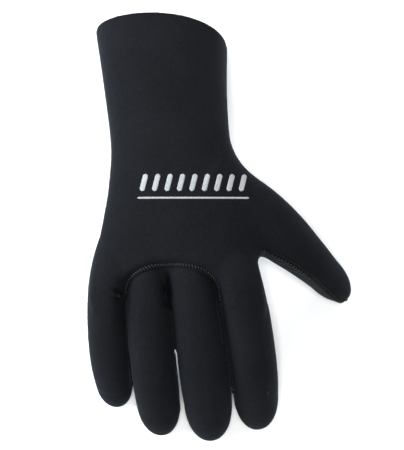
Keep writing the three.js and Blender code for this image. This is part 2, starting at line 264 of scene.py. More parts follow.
class Limb:
    """A curved tube with a changing oval section and a rounded end."""

    def __init__(self, knots, rows, dome, steps, is_open):
        self.knots = np.array(knots, float)
        self.rows = rows
        self.dome = dome
        self.steps = steps
        self.is_open = is_open
        self.start_reached = 0.0

    def sections(self, at):
        """The centre, axes and sizes of the cross-sections at places along the path."""
        nudge = 1e-4
        ahead = curve_points(self.knots, np.minimum(at + nudge, 1))
        along = unit(ahead - curve_points(self.knots, np.maximum(at - nudge, 0)))
        side = unit(np.cross(UP, along))
        up = np.cross(along, side)
        roll = np.radians(column(self.rows, "roll", at))[:, None]
        side, up = side * np.cos(roll) + up * np.sin(roll), up * np.cos(roll) - side * np.sin(roll)
        skew = np.radians(column(self.rows, "skew", at))[:, None]
        side = side * np.cos(skew) - along * np.sin(skew)
        sizes = {key: column(self.rows, key, at) for key in ("width", "back", "palm", "power", "lean")}
        return {"centre": curve_points(self.knots, at), "side": side, "up": up, "along": along, **sizes}

    def rings(self):
        """Points of the tube's outside."""
        found = self.sections(np.linspace(0, 1, self.steps + 1))
        angles = np.linspace(0, 2 * math.pi, RING_POINTS + 1)[:-1]
        power = found["power"][:, None]
        across = np.sign(np.cos(angles)) * np.abs(np.cos(angles)) ** (2 / power)
        rise = np.sign(np.sin(angles)) * np.abs(np.sin(angles)) ** (2 / power)
        depth = np.where(rise > 0, found["back"][:, None], found["palm"][:, None])
        depth = depth * (1 + found["lean"][:, None] * across)
        spread = (
            (0.5 * found["width"][:, None] * across)[..., None] * found["side"][:, None]
            + (depth * rise)[..., None] * found["up"][:, None]
        )
        body = found["centre"][:, None] + spread
        turn = 0.5 * math.pi * np.arange(1, DOME_STEPS + 1)[:, None, None] / DOME_STEPS
        end = found["centre"][-1] + self.dome * np.sin(turn) * found["along"][-1] + spread[-1] * np.cos(turn)
        return np.vstack([body.reshape(-1, 3), end.reshape(-1, 3)])

    def prepare(self):
        """Samples the limb for the distance field."""
        at = np.linspace(0, 1, SAMPLES)
        found = self.sections(at)
        normal = unit(np.cross(found["side"], found["up"]))
        pace = dot(np.gradient(found["centre"], axis=0), normal)
        sizes = [0.5 * found["width"], found["back"], found["palm"], found["power"], found["lean"]]
        self.track = np.hstack([found["centre"], normal, pace[:, None]])
        self.shape = np.hstack([found["centre"], found["side"], found["up"], normal, np.stack(sizes, 1)])
        self.reached = lengths_along(found["centre"])
        points = self.rings()
        self.low = points.min(0) - LIMB_MARGIN
        self.high = points.max(0) + LIMB_MARGIN
        if self.is_open:
            self.high = self.high + LIMB_MARGIN

    def between(self, samples, u):
        i = np.minimum(u.astype(int), SAMPLES - 2)
        f = (u - i)[:, None]
        return samples[i] * (1 - f) + samples[i + 1] * f

    def locate(self, points):
        """Each point in the section that it lies in: its place along, across, up and past the end."""
        centres = self.track[:, :3]
        reach = (centres ** 2).sum(1) - 2 * points @ centres.T
        u = reach.argmin(1).astype(float)
        for _ in range(TRACKING_STEPS):
            here = self.between(self.track, u)
            u = np.clip(u + dot(points - here[:, :3], here[:, 3:6]) / here[:, 6], 0, SAMPLES - 1)
        here = self.between(self.shape, u)
        off = points - here[:, :3]
        return {
            "u": u,
            "across": dot(off, here[:, 3:6]),
            "rise": dot(off, here[:, 6:9]),
            "past": dot(off, here[:, 9:12]),
            "width": here[:, 12],
            "back": here[:, 13],
            "palm": here[:, 14],
            "power": here[:, 15],
            "lean": here[:, 16],
        }

    def distance(self, place, grow):
        """The signed distance to the tube, grown by some millimetres."""
        width = place["width"] + grow
        across = place["across"] / width
        depth = np.where(place["rise"] > 0, place["back"], place["palm"]) + grow
        depth = depth * (1 + place["lean"] * np.clip(across, -1, 1))
        rise = place["rise"] / depth
        power = place["power"]
        size = np.maximum((np.abs(across) ** power + np.abs(rise) ** power) ** (1 / power), 1e-6)
        slope = np.hypot(
            np.abs(across / size) ** (power - 1) / width,
            np.abs(rise / size) ** (power - 1) / depth,
        )
        forward = np.maximum(place["past"], 0) / (self.dome + grow)
        beyond = place["u"] >= SAMPLES - 1
        full = np.where(beyond, np.hypot(size, forward), size)
        steep = np.where(beyond, np.hypot(size * slope, forward / (self.dome + grow)) / full, slope)
        found = (full - 1) / steep
        if not self.is_open:
            start = np.where(place["u"] <= 0, -place["past"], -NOT_NEAR)
            found = np.maximum(found, start - grow)
        return found


def hand(mouth_drop, back="back"):
    """The cuff and hand, for a cuff whose mouth is a given drop below the palm.

    back names the column of PALM_SECTIONS with the depths above the middle surface.
    """
    rows = []
    for row in CUFF_SECTIONS:
        depth = 0.5 * row["depth"] * CUFF_DEPTH
        rows.append({
            **row, "x": -row["sway"] * CUFF_SWAY, "y": row["along"] * CUFF_LENGTH,
            "width": row["width"] * CUFF_WIDTH, "back": depth, "palm": depth,
        })
    rows.append({
        "x": 0, "y": 0, "drop": WRIST_DROP, "width": WRIST_WIDTH, "power": FINGER_POWER,
        "back": 0.5 * WRIST_DEPTH, "palm": 0.5 * WRIST_DEPTH, "skew": 0, "lean": 0,
    })
    for row in PALM_SECTIONS:
        rows.append({
            **row, "x": row["sway"] * PALM_SWAY, "y": -row["along"] * PALM_LENGTH,
            "width": row["width"] * PALM_WIDTH, "back": row[back] * PALM_DEPTH,
            "palm": row["palm"] * PALM_DEPTH, "skew": 0, "lean": 0,
        })
    for i, row in enumerate(rows):
        row["at"] = i / (len(rows) - 1)
        row["roll"] = 0
    knots = [(row["x"], row["y"], ARCH_HEIGHT - mouth_drop * row["drop"]) for row in rows]
    return Limb(knots, rows, WEB_LENGTH, HAND_STEPS, True)


def digit(start, length, yaws, bend, profile, width, depth, dome):
    """A finger or thumb whose path starts level and turns evenly in plan and downwards."""
    share = (np.arange(PATH_STEPS) + 0.5) / PATH_STEPS
    yaw = np.radians(yaws[0] + (yaws[1] - yaws[0]) * share)
    pitch = np.radians(bend * share)
    steps = np.stack([np.cos(pitch) * np.sin(yaw), -np.cos(pitch) * np.cos(yaw), -np.sin(pitch)], 1)
    steps *= (length - dome) / PATH_STEPS
    knots = np.vstack([start, start + np.cumsum(steps, 0)])
    rows = [
        {
            "at": row["at"], "width": row["width"] * width, "back": 0.5 * row["depth"] * depth,
            "palm": 0.5 * row["depth"] * depth, "power": FINGER_POWER, "roll": -row["roll"],
            "skew": 0, "lean": 0,
        }
        for row in profile
    ]
    return Limb(knots, rows, dome, FINGER_STEPS, False)


def finger(spec, bend):
    start = (PALM_SWAY + spec["across"] * PALM_WIDTH, -FINGER_ROOT * PALM_LENGTH, ARCH_HEIGHT)
    width = spec["width"] * FINGER_WIDTH
    yaws = (spec["root_yaw"], spec["tip_yaw"])
    length = spec["length"] * FINGER_LENGTH
    depth = spec["depth"] * FINGER_DEPTH
    return digit(np.array(start), length, yaws, bend, FINGER_PROFILE, width, depth, FINGER_TIP * width)


def thumb(bend):
    start = (THUMB_ROOT_ACROSS * PALM_WIDTH, -THUMB_ROOT_ALONG * PALM_LENGTH, ARCH_HEIGHT - THUMB_ROOT_BELOW)
    yaws = (THUMB_ROOT_YAW, THUMB_TIP_YAW)
    dome = THUMB_TIP * THUMB_LENGTH
    return digit(np.array(start), THUMB_LENGTH, yaws, bend, THUMB_PROFILE, THUMB_WIDTH, THUMB_DEPTH, dome)


def resting(make, most):
    """The limb, of those that make(bend) gives, that presses on the table as foam does."""
    low, high = 0.0, float(most)
    for _ in range(BISECTIONS):
        bend = 0.5 * (low + high)
        if make(bend).rings()[:, 2].min() > -PRESSED_FLAT:
            low = bend
        else:
            high = bend
    return make(0.5 * (low + high))


HAND = resting(hand, ARCH_HEIGHT)
DIGITS = {spec["name"]: resting(lambda bend, spec=spec: finger(spec, bend), STEEPEST) for spec in FINGERS}
THUMB = resting(thumb, STEEPEST)
HAND_OUTSIDE_ARCH = hand(ARCH_HEIGHT - HAND.knots[0, 2], "outside_arch")
LIMBS = [HAND, HAND_OUTSIDE_ARCH, *DIGITS.values(), THUMB]
for limb in LIMBS:
    limb.prepare()

# How far along the hand each finger and the thumb start, so that the ribs run on without a jump
for limb in (*DIGITS.values(), THUMB):
    root = HAND.locate(limb.knots[:1])
    limb.start_reached = np.interp(root["u"][0], np.arange(SAMPLES), HAND.reached)

# The form's own origin is at the wrist. The frame's is under the middle of the glove.
outside_points = np.vstack([limb.rings() for limb in LIMBS])
form_middle = 0.5 * (outside_points.min(0) + outside_points.max(0))
frame_middle = METRE * 0.5 * (np.array(cad_box[0]) + np.array(cad_box[1]))
SHIFT = np.array([frame_middle[0] - form_middle[0], frame_middle[1] - form_middle[1], 0.0])


def soft_union(a, b, reach):
    """The nearer of two distances, with a fillet where both are near."""
    near = np.clip(1 - np.abs(a - b) / reach, 0, None)
    return np.minimum(a, b) - 0.25 * reach * near * near


def soft_cut(a, b, reach):
    return -soft_union(-a, -b, reach)


def smooth_step(value, low, high):
    t = np.clip((value - low) / (high - low), 0, 1)
    return t * t * (3 - 2 * t)


def middle_line_x(name, y):
    """Where a finger's middle line crosses a given y, in plan."""
    points = curve_points(DIGITS[name].knots, np.linspace(0, 1, PATH_STEPS + 1))
    return np.interp(-y, -points[:, 1], points[:, 0])


def between_fingers(a, b, y):
    """The x of the line between two neighbouring fingers, in plan."""
    widths = {spec["name"]: spec["width"] for spec in FINGERS}
    share = widths[a] / (widths[a] + widths[b])
    return middle_line_x(a, y) * (1 - share) + middle_line_x(b, y) * share


SPRING_Y = KNUCKLE_SETBACK - PALM_LENGTH - KNUCKLE_ARCH_RISE  # where the arch starts on both sides
BEYOND_TIPS = -280


def knuckle_outline(end_y, count=60):
    """The knuckle panel's outline in plan, from end_y over the arch and back to end_y."""
    ys = np.linspace(end_y, SPRING_Y, count)[:-1]
    left = np.stack([between_fingers("little", "ring", ys), ys], 1)
    right = np.stack([between_fingers("middle", "index", ys), ys], 1)
    left_x = between_fingers("little", "ring", SPRING_Y)
    right_x = between_fingers("middle", "index", SPRING_Y)
    angles = math.pi * (1 - np.linspace(0, 1, 2 * count))
    across = np.sign(np.cos(angles)) * np.abs(np.cos(angles)) ** (2 / KNUCKLE_ARCH_POWER)
    rise = np.maximum(np.sin(angles), 0) ** (2 / KNUCKLE_ARCH_POWER)
    arch_x = 0.5 * (left_x + right_x) + 0.5 * (right_x - left_x) * across
    arch = np.stack([arch_x, SPRING_Y + KNUCKLE_ARCH_RISE * rise], 1)
    return np.vstack([left, arch, right[::-1]])


def distance_to_line(line, points):
    """The signed distance in plan to a line of points, positive on its left."""
    best = np.full(len(points), np.inf)
    sign = np.ones(len(points))
    for start, step in zip(line[:-1], np.diff(line, axis=0)):
        off = points - start
        t = np.clip(off @ step / (step @ step), 0, 1)
        gap = off - t[:, None] * step
        d = dot(gap, gap)
        nearer = d < best
        cross = step[0] * off[:, 1] - step[1] * off[:, 0]
        sign[nearer] = np.where(cross[nearer] > 0, 1.0, -1.0)
        best[nearer] = d[nearer]
    return sign * np.sqrt(best)


class PlanMap:
    """A function of the plan, kept on a grid of millimetres."""

    def __init__(self, function, low, high):
        self.low = np.floor(low)
        size = np.ceil(high - self.low).astype(int) + 2
        self.values = function(lattice(size) + self.low).reshape(size)

    def __call__(self, points):
        places = np.clip(points[:, :2] - self.low, 0, np.array(self.values.shape) - 1.001)
        i = places.astype(int)
        f = places - i
        v = self.values
        near = v[i[:, 0], i[:, 1]] * (1 - f[:, 1]) + v[i[:, 0], i[:, 1] + 1] * f[:, 1]
        far = v[i[:, 0] + 1, i[:, 1]] * (1 - f[:, 1]) + v[i[:, 0] + 1, i[:, 1] + 1] * f[:, 1]
        return near * (1 - f[:, 0]) + far * f[:, 0]


def crease_depth(points):
    """How far the creases lower the cloth, in plan."""
    total = np.zeros(len(points))
    for row in CREASES:
        start = np.array([row["x0"], row["y0"]])
        run = np.array([row["x1"], row["y1"]]) - start
        off = points[:, :2] - start
        t = np.clip(off @ run / (run @ run), 0, 1)
        gap = np.linalg.norm(off - t[:, None] * run, axis=1)
        total += row["depth"] * t ** 0.6 * np.exp(-(gap / row["width"]) ** 2)
    return DEEPEST_CREASE * np.tanh(total / DEEPEST_CREASE)


plan_low = outside_points.min(0)[:2] - LIMB_MARGIN
plan_high = outside_points.max(0)[:2] + LIMB_MARGIN
whole_outline = knuckle_outline(BEYOND_TIPS)
outside_arch = PlanMap(lambda places: distance_to_line(whole_outline, places), plan_low, plan_high)


class Field:
    """The glove's form at points of the frame: the outside, the lining and the joints' surfaces."""

    def __init__(self, points):
        points = np.asarray(points, float) - SHIFT
        count = len(points)
        distances = {}
        rises = np.zeros(count)
        lengths = np.zeros(count)
        weights = np.zeros(count)
        thumb_side = np.zeros(count)
        reaches = {}
        self.arch = outside_arch(points)
        back_reach = ARCH_FILLET + (BACK_FILLET - ARCH_FILLET) * smooth_step(self.arch, *FILLET_CHANGE)
        for name, limb in {"hand": HAND, **DIGITS, "thumb": THUMB}.items():
            near = np.all((points > limb.low) & (points < limb.high), axis=1)
            place = limb.locate(points[near])
            outer = np.full(count, NOT_NEAR)
            inner = np.full(count, NOT_NEAR)
            outer[near] = limb.distance(place, 0)
            inner[near] = limb.distance(place, -WALL)
            if name == "hand":
                outside = smooth_step(self.arch[near], *DEPTH_CHANGE)
                raised = HAND_OUTSIDE_ARCH.locate(points[near])
                outer[near] += outside * (HAND_OUTSIDE_ARCH.distance(raised, 0) - outer[near])
                inner[near] += outside * (HAND_OUTSIDE_ARCH.distance(raised, -WALL) - inner[near])
            distances[name] = (outer, inner)
            weight = np.exp(-np.clip(outer[near], -BLEND_LIMIT, BLEND_LIMIT) / LIMB_BLEND)
            weights[near] += weight
            rises[near] += weight * place["rise"]
            reached = np.interp(place["u"], np.arange(SAMPLES), limb.reached) + np.maximum(place["past"], 0)
            lengths[near] += weight * (limb.start_reached + reached)
            if name == "thumb":
                thumb_side[near] = place["across"]
            elif name != "hand":
                on_finger_back = smooth_step(place["rise"], *FINGER_BACK)
                if name in ("index", "little"):
                    sink = FINGER_HEEL_SINK * (1 - smooth_step(reached, 0, FINGER_HEEL_LENGTH))
                    sink *= on_finger_back
                    outer[near] += sink
                    inner[near] += sink
                reach = SIDE_FILLET + (back_reach[near] - SIDE_FILLET) * on_finger_back
                reaches[name] = np.ones(count)
                reaches[name][near] = LEAST_FILLET + reach * smooth_step(reached, 0, FILLET_START)
        weights = np.maximum(weights, 1e-12)
        self.side = rises / weights + JOINT_DROP
        self.length = lengths / weights
        off_crotch = smooth_step(thumb_side, *CROTCH_SIDE)
        thumb_reach = CROTCH_FILLET + (THUMB_FILLET - CROTCH_FILLET) * off_crotch
        surfaces = []
        for layer in range(2):
            hand_distance = distances["hand"][layer]
            joined = [soft_union(hand_distance, distances[n][layer], r) for n, r in reaches.items()]
            for row in CONTACTS:
                end = row["end_y"]
                reach = CONTACT_FILLET * smooth_step(points[:, 1], end, end + CONTACT_FADE) + 0.01
                first, second = (distances[row[key]][layer] for key in ("first", "second"))
                joined.append(soft_union(first, second, reach))
            body = np.minimum.reduce(joined)
            surfaces.append(soft_union(body, distances["thumb"][layer], thumb_reach))
        on_back = smooth_step(self.side, 0, BACK_START)
        dent = SEAM_DENT * np.exp(-(self.arch / SEAM_DENT_REACH) ** 2) * on_back
        dent *= smooth_step(points[:, 1], SPRING_Y - SEAM_DENT_FADE, SPRING_Y)
        self.crease = crease_depth(points) * on_back
        dent += self.crease
        self.outer = surfaces[0] + dent
        self.inner = surfaces[1] + dent
        mouth = HAND.shape[0]
        self.beyond_mouth = -(points - mouth[:3]) @ mouth[9:12]
        self.height = points[:, 2]

    def shell(self):
        foam = soft_cut(self.outer, -self.inner, RIM_ROUNDING)
        foam = soft_cut(foam, self.beyond_mouth, RIM_ROUNDING)
        return soft_cut(foam, -self.height, FLOOR_ROUNDING)


class Grid:
    """The field on a regular grid, worked out only near the glove's surfaces."""

    def __init__(self):
        margin = 2 * COARSE * CELL
        low = METRE * np.array(cad_box[0]) - margin
        high = METRE * np.array(cad_box[1]) + margin
        blocks = np.ceil((high - low) / (COARSE * CELL)).astype(int)
        self.low = low
        self.shape = tuple(blocks * COARSE)
        corners = lattice(blocks)
        middles = low + CELL * COARSE * (corners + 0.5)
        rough = Field(middles)
        reach = 0.9 * COARSE * CELL + SEAM_DENT
        wanted = np.minimum(np.abs(rough.outer), np.abs(rough.inner)) < reach
        wanted |= (rough.outer < reach) & (rough.inner > -reach)
        cells = (COARSE * corners[wanted][:, None] + lattice((COARSE,) * 3)).reshape(-1, 3)
        fine = Field(low + CELL * cells)
        index = tuple(cells.T)
        self.values = {}
        for key, value in {"shell": fine.shell(), "side": fine.side, "arch": fine.arch}.items():
            self.values[key] = np.full(self.shape, NOT_NEAR, np.float32)
            self.values[key][index] = value


def read(values, places):
    """A grid's values between its points, where places are in cells."""
    i = np.clip(places.astype(int), 0, np.array(values.shape) - 2)
    f = places - i
    total = 0
    for corner in np.ndindex(2, 2, 2):
        weight = np.prod(np.where(np.array(corner) == 1, f, 1 - f), axis=1)
        total = total + weight * values[tuple((i + corner).T)]
    return total


def surface(values):
    """The closed mesh of a grid's zero surface: a point in each cell that it crosses."""
    inside = values < 0
    count = np.zeros([n - 1 for n in values.shape], np.int8)
    for corner in np.ndindex(2, 2, 2):
        window = tuple(slice(c, c + n - 1) for c, n in zip(corner, values.shape))
        count += inside[window]
    cells = np.argwhere((count > 0) & (count < 8))
    number = np.full(count.shape, -1, np.int64)
    number[tuple(cells.T)] = np.arange(len(cells))
    total = np.zeros((len(cells), 3))
    crossings = np.zeros(len(cells))
    faces = []
    for axis in range(3):
        step = np.eye(3, dtype=int)[axis]
        others = [k for k in range(3) if k != axis]
        for shift in np.ndindex(2, 2):
            start = np.zeros(3, int)
            start[others] = shift
            a = values[tuple((cells + start).T)]
            b = values[tuple((cells + start + step).T)]
            crosses = (a < 0) != (b < 0)
            t = np.where(crosses, a / np.where(crosses, a - b, 1), 0)
            total[crosses] += (start + t[:, None] * step)[crosses]
            crossings[crosses] += 1
        window_a = [slice(1, n - 1) for n in values.shape]
        window_b = list(window_a)
        window_a[axis] = slice(0, values.shape[axis] - 1)
        window_b[axis] = slice(1, values.shape[axis])
        flips = inside[tuple(window_a)] != inside[tuple(window_b)]
        edges = np.argwhere(flips) + [0 if k == axis else 1 for k in range(3)]
        first, second = np.eye(3, dtype=int)[others[0]], np.eye(3, dtype=int)[others[1]]
        around = (0 * first, first, first + second, second)
        quad = np.stack([number[tuple((edges - d).T)] for d in around], 1)
        leaving = inside[tuple(edges.T)]
        flip = leaving if axis != 1 else ~leaving  # along y, first and second turn the other way
        quad[flip] = quad[flip][:, ::-1]
        faces.append(quad)
    points = cells + total / crossings[:, None]
    return points, np.vstack(faces)


def settled(values, points, rounds=2):
    """The mesh's points moved onto the zero surface."""
    for _ in range(rounds):
        value = read(values, points)
        steps = 0.5 * np.eye(3)
        slope = np.stack([read(values, points + step) - read(values, points - step) for step in steps], 1)
        move = value[:, None] * slope / np.maximum(dot(slope, slope), 1e-4)[:, None]
        points = points - np.clip(move, -0.5, 0.5)
    return points


def mesh_object(name, points, faces, materials):
    """A smooth mesh object from points in millimetres."""
    mesh = bpy.data.meshes.new(name)
    mesh.from_pydata((np.asarray(points) / METRE).tolist(), [], [list(face) for face in faces])
    mesh.polygons.foreach_set("use_smooth", np.ones(len(mesh.polygons), bool))
    for material in materials:
        mesh.materials.append(material)
    obj = bpy.data.objects.new(name, mesh)
    bpy.context.scene.collection.objects.link(obj)
    return obj


def store(mesh, name, values):
    mesh.attributes.new(name, "FLOAT", "POINT").data.foreach_set("value", values.astype(np.float32))


class Nodes:
    """A material whose nodes are joined to what they are given."""

    def __init__(self, name, colour, roughness, **shader):
        self.material = bpy.data.materials.new(name)
        self.material.use_nodes = True
        self.material.diffuse_color = (*colour, 1)
        self.tree = self.material.node_tree
        self.shader = self.tree.nodes["Principled BSDF"]
        self.place = self.add("TexCoord").outputs["Object"]
        settings = {"Base Color": (*colour, 1), "Roughness": roughness, **shader}
        for key, value in settings.items():
            self.shader.inputs[key].default_value = value

    def add(self, kind, inputs=None, **settings):
        node = self.tree.nodes.new("ShaderNode" + kind)
        for key, value in settings.items():
            setattr(node, key, value)
        for key, value in (inputs or {}).items():
            self.join(value, node.inputs[key])
        return node

    def join(self, value, socket):
        if isinstance(value, bpy.types.NodeSocket):
            self.tree.links.new(value, socket)
        else:
            socket.default_value = value

    def value(self, operation, a, b=0.0):
        return self.add("Math", {0: a, 1: b}, operation=operation).outputs[0]

    def noise(self, scale, detail=3, roughness=0.55):
        settings = {"Vector": self.place, "Scale": scale, "Detail": detail, "Roughness": roughness}
        return self.add("TexNoise", settings).outputs[0]

    def attribute(self, name):
        return self.add("Attribute", attribute_name=name).outputs["Fac"]

    def ramp(self, value, low, high, to_low=0.0, to_high=1.0):
        inputs = {"Value": value, "From Min": low, "From Max": high, "To Min": to_low, "To Max": to_high}
        return self.add("MapRange", inputs, interpolation_type="SMOOTHSTEP").outputs[0]

    def mix(self, share, a, b):
        node = self.add("Mix", data_type="RGBA")
        self.join(share, node.inputs[0])
        self.join(a, node.inputs[6])
        self.join(b, node.inputs[7])
        return node.outputs[2]

    def colour(self, value):
        self.join(value, self.shader.inputs["Base Color"])

    def bumps(self, *layers):
        """Bump from layers of height, each with its depth in metres."""
        normal = None
        for height, depth in layers:
            node = self.add("Bump", {"Height": height, "Distance": depth, "Strength": 1.0})
            if normal is not None:
                self.join(normal, node.inputs["Normal"])
            normal = node.outputs[0]
        self.join(normal, self.shader.inputs["Normal"])


RIB_PITCH = 1.5
LINT_COLOUR = (0.08, 0.084, 0.09, 1)
# painted highlight on the palm cloth's rib crests
RIB_CREST_HIGHLIGHT = (0.075, 0.089, 0.092, 1)
SCUFF_COLOUR = (0.038, 0.033, 0.028, 1)
SCUFF_PLACE = (np.array([60.4, -152.5, 22.0]) + SHIFT) / METRE  # near the index finger's tip
SCUFF_REACH = (0.003, 0.009, 0.03)
SHEEN = {"Sheen Weight": 0.03, "Sheen Roughness": 0.4, "Sheen Tint": (0.6, 0.76, 1, 1)}
MATTE = {"Specular IOR Level": 0.03}


def shade(colour, share):
    return tuple(share * c for c in colour) + (1,)


def worn_colour_and_crease_shade(nodes, colour):
    """The colour with faint clouds and grain, darker joints, painted shade in the creases, and lint."""
    clouds = nodes.ramp(nodes.noise(22, 4), 0.3, 0.7)
    tone = nodes.mix(clouds, shade(colour, 0.72), shade(colour, 1.02))
    grain = nodes.ramp(nodes.noise(950, 3, 0.75), 0.34, 0.68)
    tone = nodes.mix(nodes.value("MULTIPLY", grain, 0.42), tone, shade(colour, 2.0))
    joint = nodes.ramp(nodes.attribute("joint"), 0.4, 2.6, 0.55, 0.0)
    tone = nodes.mix(joint, tone, shade(colour, 0.3))
    # painted shade: the cloth is darkened where the creases lie deep, standing in for the shade in the folds
    crease = nodes.ramp(nodes.attribute("crease"), 0.12, 0.9, 0.0, 0.8)
    tone = nodes.mix(crease, tone, shade(colour, 0.25))
    cells = nodes.add("TexVoronoi", {"Vector": nodes.place, "Scale": 105}, feature="F1")
    lint = nodes.ramp(cells.outputs["Distance"], 0.012, 0.03, 1.0, 0.0)
    return nodes.mix(nodes.value("MULTIPLY", lint, 0.5), tone, LINT_COLOUR)


def back_cloth():
    """Smooth nylon jersey in near black, with a bluish sheen."""
    colour = (0.0057, 0.0060, 0.0071)
    nodes = Nodes("neoprene_jersey", colour, 0.78, **SHEEN, **MATTE)
    tone = worn_colour_and_crease_shade(nodes, colour)
    off = nodes.add("VectorMath", {0: nodes.place, 1: tuple(SCUFF_PLACE)}, operation="SUBTRACT").outputs[0]
    shrink = tuple(1 / r for r in SCUFF_REACH)
    size = nodes.add("VectorMath", {0: off, 1: shrink}, operation="MULTIPLY").outputs[0]
    away = nodes.add("VectorMath", {0: size}, operation="LENGTH").outputs["Value"]
    patches = nodes.ramp(nodes.noise(260, 4), 0.42, 0.66)
    scuff = nodes.value("MULTIPLY", nodes.ramp(away, 0.25, 1.0, 0.85, 0.0), patches)
    nodes.colour(nodes.mix(scuff, tone, SCUFF_COLOUR))
    stretch = nodes.add("Mapping", {"Vector": nodes.place, "Scale": (1900, 1250, 1500)}).outputs[0]
    loops = nodes.add("TexVoronoi", {"Vector": stretch, "Scale": 1.0}, feature="SMOOTH_F1")
    nodes.bumps((nodes.noise(55, 3), 0.0009), (loops.outputs["Distance"], 0.00009))
    return nodes.material


def palm_cloth():
    """Ribbed grip cloth, whose ribs run across each finger, with a painted highlight on the ribs' crests."""
    colour = (0.0055, 0.0061, 0.0068)
    nodes = Nodes("ribbed_grip_cloth", colour, 0.72, **SHEEN, **MATTE)
    tone = worn_colour_and_crease_shade(nodes, colour)
    turn = nodes.value("MULTIPLY", nodes.attribute("along"), 2 * math.pi / RIB_PITCH)
    rib = nodes.ramp(nodes.value("SINE", turn), 0.0, 1.0)
    # painted highlight: the ribs' crests are coloured lighter than the troughs between them
    nodes.colour(nodes.mix(rib, nodes.mix(0.6, tone, shade(colour, 0.1)), RIB_CREST_HIGHLIGHT))
    nodes.bumps((rib, 0.0005), (nodes.noise(1400, 2), 0.0001))
    return nodes.material


def lining_cloth():
    colour = (0.028, 0.029, 0.032)
    nodes = Nodes("plush_lining", colour, 0.95, **{"Sheen Weight": 0.5, "Sheen Roughness": 0.6}, **MATTE)
    pile = nodes.noise(700, 4, 0.7)
    nodes.colour(nodes.mix(nodes.ramp(pile, 0.3, 0.7), shade(colour, 0.6), shade(colour, 1.5)))
    nodes.bumps((nodes.noise(90, 3), 0.0008), (pile, 0.0005))
    return nodes.material


def foam():
    colour = (0.017, 0.017, 0.018)
    nodes = Nodes("foam_edge", colour, 0.9, **MATTE)
    pores = nodes.add("TexVoronoi", {"Vector": nodes.place, "Scale": 2200}, feature="F1").outputs["Distance"]
    nodes.colour(nodes.mix(nodes.ramp(pores, 0.1, 0.5), shade(colour, 0.4), shade(colour, 1.3)))
    nodes.bumps((pores, 0.0002))
    return nodes.material


def thread(name, colour):
    nodes = Nodes(name, colour, 0.6, **{"Specular IOR Level": 0.15})
    twist = nodes.noise(1600, 2)
    nodes.colour(nodes.mix(nodes.ramp(twist, 0.35, 0.65), shade(colour, 0.55), shade(colour, 1.4)))
    nodes.bumps((twist, 0.00012))
    return nodes.material


def ink():
    colour = (0.3, 0.305, 0.31)
    nodes = Nodes("print_ink", colour, 0.6, **MATTE)
    worn = nodes.ramp(nodes.noise(1100, 3), 0.3, 0.6)
    nodes.colour(nodes.mix(worn, shade(colour, 0.78), shade(colour, 1.06)))
    nodes.bumps((worn, 0.00004))
    return nodes.material


MATERIALS = {
    "jersey": back_cloth(), "palm": palm_cloth(), "lining": lining_cloth(),
    "foam": foam(), "ink": ink(),
    "thread": thread("seam_thread", (0.025, 0.0255, 0.0255)),
    # the dark thread's material also colours the painted groove shade beside the raised seams
    "dark_thread": thread("dark_seam_thread_and_groove_shade", (0.0045, 0.0046, 0.005)),
}

# The foam panels
CLOTH_DEPTH = 0.9  # how far down a cut edge the cloth still shows
UNDER_BACK = 6  # what puts the arch's dark line out of reach below the joints
UNDER_BACK_START = 2


def make_panel(name, values, outer_material):
    points, faces = surface(values)
    points = grid.low + CELL * settled(values, points)
    field = Field(points)
    materials = [MATERIALS[outer_material], MATERIALS["lining"], MATERIALS["foam"]]
    obj = mesh_object(name + "_foam", points, faces.tolist(), materials)
    depth_out = (-field.outer)[faces].mean(1)
    depth_in = field.inner[faces].mean(1)
    kind = np.where(depth_out < CLOTH_DEPTH, 0, np.where(depth_in < CLOTH_DEPTH, 1, 2))
    obj.data.polygons.foreach_set("material_index", kind.astype(np.int32))
    on_back = smooth_step(field.side, 0, UNDER_BACK_START)
    joint = np.minimum(np.abs(field.side), np.abs(field.arch) + UNDER_BACK * (1 - on_back))
    store(obj.data, "joint", joint)
    store(obj.data, "along", field.length)
    # the creases' depth, which the cloth's colour darkens as painted shade
    store(obj.data, "crease", field.crease)
    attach(obj, "root")
    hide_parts(name)


grid = Grid()
half_gap = 0.5 * PANEL_GAP
shell = grid.values["shell"]
side = grid.values["side"]
arch = grid.values["arch"]
back_half = soft_cut(shell, half_gap - side, EDGE_ROUNDING)
make_panel("back_panel", soft_cut(back_half, half_gap - arch, EDGE_ROUNDING), "jersey")
make_panel("knuckle_panel", soft_cut(back_half, half_gap + arch, EDGE_ROUNDING), "jersey")
make_panel("palm_panel", soft_cut(shell, half_gap + side, EDGE_ROUNDING), "palm")

# Seams and stitches
SLOPE_STEP = 0.3
SETTLE_ROUNDS = 6
BAND_FOOT = 0.9  # a band's width at its foot, as a share of its width at the cloth
SEAM_DROP_HEIGHT = ARCH_HEIGHT + 22  # from where a seam's points are let down
SEAM_STEP = 0.8  # between a raised seam's sections
SIDE_STEP = 1.2  # between a side line's points
MOST_STRAY = 4  # how far from its first place a side stitch may settle
TIP_POINTS = 30


def on_outside(points, joint=None):
    """The points moved onto the outside, and onto a joint where one is named, and the outward directions."""
    points = np.array(points, float)
    keys = ("outer",) if joint is None else ("outer", joint)
    for _ in range(SETTLE_ROUNDS):
        here = Field(points)
        pairs = [(Field(points + SLOPE_STEP * a), Field(points - SLOPE_STEP * a)) for a in np.eye(3)]
        slopes = {
            key: np.stack([getattr(p, key) - getattr(m, key) for p, m in pairs], 1) / (2 * SLOPE_STEP)
            for key in keys
        }
        for key in keys:
            slope = slopes[key]
            step = getattr(here, key) / np.maximum(dot(slope, slope), 0.05)
            points = points - np.clip(step, -2, 2)[:, None] * slope
    return points, unit(slopes["outer"])


def dropped(points, rounds=30):
    """Points let down from above onto the outside."""
    points = np.array(points, float)
    for _ in range(rounds):
        points[:, 2] -= np.clip(Field(points).outer, -1, 8)
    return points


